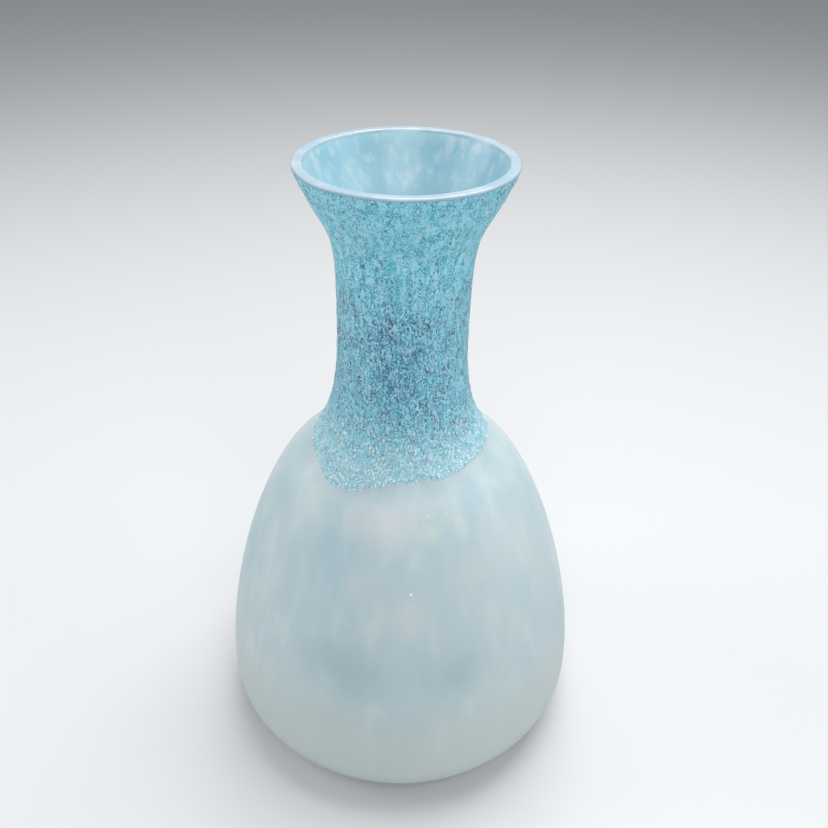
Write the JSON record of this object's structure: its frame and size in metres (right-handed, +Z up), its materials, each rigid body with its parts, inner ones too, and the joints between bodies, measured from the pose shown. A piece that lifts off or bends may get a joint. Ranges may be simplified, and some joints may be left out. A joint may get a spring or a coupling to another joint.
{
  "type": "hand blown art glass vase",
  "caption": "Blue mottled satin glass vase with a bottle belly, a slim crushed-glass neck and a flared mouth, for holding stems.",
  "frame": {"origin": "centre of the foot, on the plane it rests on", "axes": "+Z up along the vase's axis, towards the mouth"},
  "size_m": [0.132, 0.132, 0.2152],
  "materials": {
    "inner_casing": "glossy, mottled blue and white",
    "colour_layer": "mottled blue and opal",
    "outer_casing": "satin, pale blue with white mottles",
    "neck_frit_jacket": "crushed glass relief, blue and teal with white grains",
    "lip_wrap": "fire-polished, pale blue white"
  },
  "bodies": {
    "root": {"inner_casing": "inner_casing", "colour_layer": "colour_layer", "outer_casing": "outer_casing", "neck_frit_jacket": "neck_frit_jacket", "lip_wrap": "lip_wrap"}
  },
  "joints": []
}
